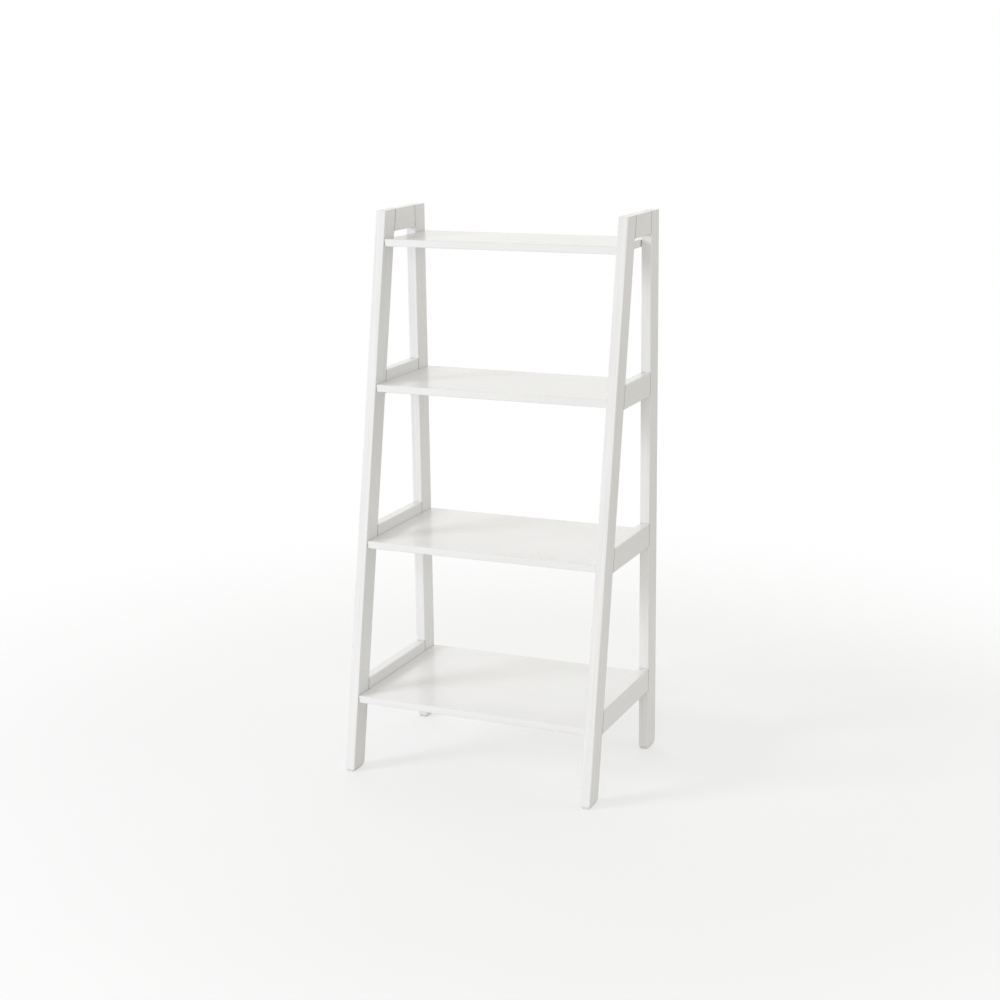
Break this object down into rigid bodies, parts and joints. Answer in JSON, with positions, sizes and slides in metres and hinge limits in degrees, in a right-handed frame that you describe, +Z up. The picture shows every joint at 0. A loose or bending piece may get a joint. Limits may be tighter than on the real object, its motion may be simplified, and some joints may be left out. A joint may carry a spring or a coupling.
{
  "type": "ladder shelf",
  "caption": "Free-standing ladder shelf: two open side frames with leaning front legs and upright rear legs carry boards that get deeper towards the floor, in white lacquered wood.",
  "frame": {"origin": "on the floor, under the middle of the shelf", "axes": "+X to the right seen from the front, +Y to the back (the upright legs), +Z up"},
  "size_m": [0.43, 0.3098, 0.9],
  "materials": {
    "white_lacquer": "opaque white satin lacquer on solid wood and board",
    "beech": "bare fluted beech dowel",
    "bolt_steel": "bright zinc-plated steel",
    "cam_zinc": "satin die-cast zinc",
    "glide_plastic": "fine matt moulded white"
  },
  "bodies": {
    "root": {"cam_bolt_bottom_front_left": "bolt_steel", "cam_bolt_bottom_front_right": "bolt_steel", "cam_bolt_bottom_rear_left": "bolt_steel", "cam_bolt_bottom_rear_right": "bolt_steel", "cam_bolt_middle_front_left": "bolt_steel", "cam_bolt_middle_front_right": "bolt_steel", "cam_bolt_middle_rear_left": "bolt_steel", "cam_bolt_middle_rear_right": "bolt_steel", "cam_bolt_top_front_left": "bolt_steel", "cam_bolt_top_front_right": "bolt_steel", "cam_bolt_top_rear_left": "bolt_steel", "cam_bolt_top_rear_right": "bolt_steel", "cam_bolt_upper_front_left": "bolt_steel", "cam_bolt_upper_front_right": "bolt_steel", "cam_bolt_upper_rear_left": "bolt_steel", "cam_bolt_upper_rear_right": "bolt_steel", "cam_lock_bottom_front_left": "cam_zinc", "cam_lock_bottom_front_right": "cam_zinc", "cam_lock_bottom_rear_left": "cam_zinc", "cam_lock_bottom_rear_right": "cam_zinc", "cam_lock_middle_front_left": "cam_zinc", "cam_lock_middle_front_right": "cam_zinc", "cam_lock_middle_rear_left": "cam_zinc", "cam_lock_middle_rear_right": "cam_zinc", "cam_lock_top_front_left": "cam_zinc", "cam_lock_top_front_right": "cam_zinc", "cam_lock_top_rear_left": "cam_zinc", "cam_lock_top_rear_right": "cam_zinc", "cam_lock_upper_front_left": "cam_zinc", "cam_lock_upper_front_right": "cam_zinc", "cam_lock_upper_rear_left": "cam_zinc", "cam_lock_upper_rear_right": "cam_zinc", "dowel_bottom_left": "beech", "dowel_bottom_right": "beech", "dowel_middle_left": "beech", "dowel_middle_right": "beech", "dowel_upper_left": "beech", "dowel_upper_right": "beech", "front_leg_left": "white_lacquer", "front_leg_right": "white_lacquer", "glide_front_left": "glide_plastic", "glide_front_right": "glide_plastic", "glide_rear_left": "glide_plastic", "glide_rear_right": "glide_plastic", "rear_leg_left": "white_lacquer", "rear_leg_right": "white_lacquer", "shelf_bottom": "white_lacquer", "shelf_middle": "white_lacquer", "shelf_top": "white_lacquer", "shelf_upper": "white_lacquer", "side_rail_bottom_left": "white_lacquer", "side_rail_bottom_right": "white_lacquer", "side_rail_middle_left": "white_lacquer", "side_rail_middle_right": "white_lacquer", "side_rail_upper_left": "white_lacquer", "side_rail_upper_right": "white_lacquer", "top_rail_left": "white_lacquer", "top_rail_right": "white_lacquer"}
  },
  "joints": []
}
